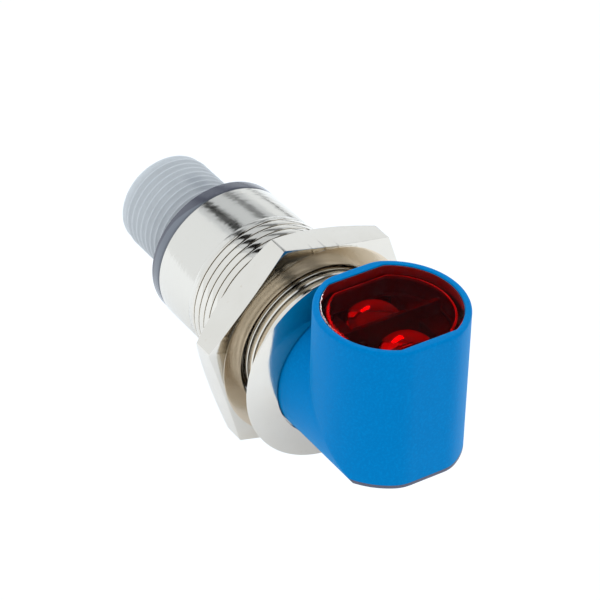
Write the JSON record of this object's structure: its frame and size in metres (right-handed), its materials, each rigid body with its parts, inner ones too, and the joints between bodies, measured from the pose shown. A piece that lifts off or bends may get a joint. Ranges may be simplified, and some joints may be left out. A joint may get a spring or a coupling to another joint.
{
  "type": "photoelectric sensor",
  "caption": "Cylindrical photoelectric sensor with a threaded metal sleeve, hex lock nut, round threaded plug and a right-angle blue head with a red window on its side.",
  "frame": {"origin": "on the sleeve's axis, in the plane of the flange's rear (clamping) face", "axes": "+X along the sleeve towards the head, +Z along the optical axis, out through the window"},
  "size_m": [0.0538, 0.027, 0.0265],
  "materials": {
    "nickel_sleeve": "nickel plated, satin brushed",
    "nickel_nut": "nickel plated, turned faces",
    "smoke_ring": "translucent smoke grey",
    "milky_plug": "translucent milky grey",
    "carrier_grey": "moulded",
    "gold_pin": "gold plated",
    "seal_rubber": "matt",
    "blue_shell": "fine matt texture",
    "cover_grey": "matt",
    "red_window": "clear, polished",
    "optics_black": "light-absorbing matt",
    "lens_clear": "clear, polished",
    "polariser_film": "film",
    "board_green": "solder resist",
    "led_body": "clear over white",
    "chip_black": "moulded",
    "flex_amber": "film",
    "capacitor_tan": "ceramic",
    "led_green": "clear",
    "led_yellow": "clear"
  },
  "bodies": {
    "sensor": {"sleeve": "nickel_sleeve", "light_ring": "smoke_ring", "plug_shell": "milky_plug", "contact_carrier": "carrier_grey", "contact_pin_1": "gold_pin", "contact_pin_2": "gold_pin", "contact_pin_3": "gold_pin", "contact_pin_4": "gold_pin", "rear_seal": "seal_rubber", "head_seal": "seal_rubber", "head_housing": "blue_shell", "bottom_cover": "cover_grey", "window": "red_window", "optics_carrier": "optics_black", "sender_lens": "lens_clear", "sender_polariser": "polariser_film", "receiver_lens": "lens_clear", "receiver_polariser": "polariser_film", "optics_board": "board_green", "sender_led": "led_body", "receiver_chip": "chip_black", "flex_link": "flex_amber", "main_board": "board_green", "controller_chip": "chip_black", "regulator": "chip_black", "output_driver": "chip_black", "capacitor_1": "capacitor_tan", "capacitor_2": "capacitor_tan", "indicator_green": "led_green", "indicator_yellow": "led_yellow"},
    "nut": {"lock_nut": "nickel_nut"}
  },
  "joints": [
    {"name": "nut_turn", "type": "hinge", "parent": "sensor", "child": "nut", "pos_m": [-0.0065, 0, 0], "axis": [1, 0, 0], "range_deg": [-2664, 1296]}
  ]
}
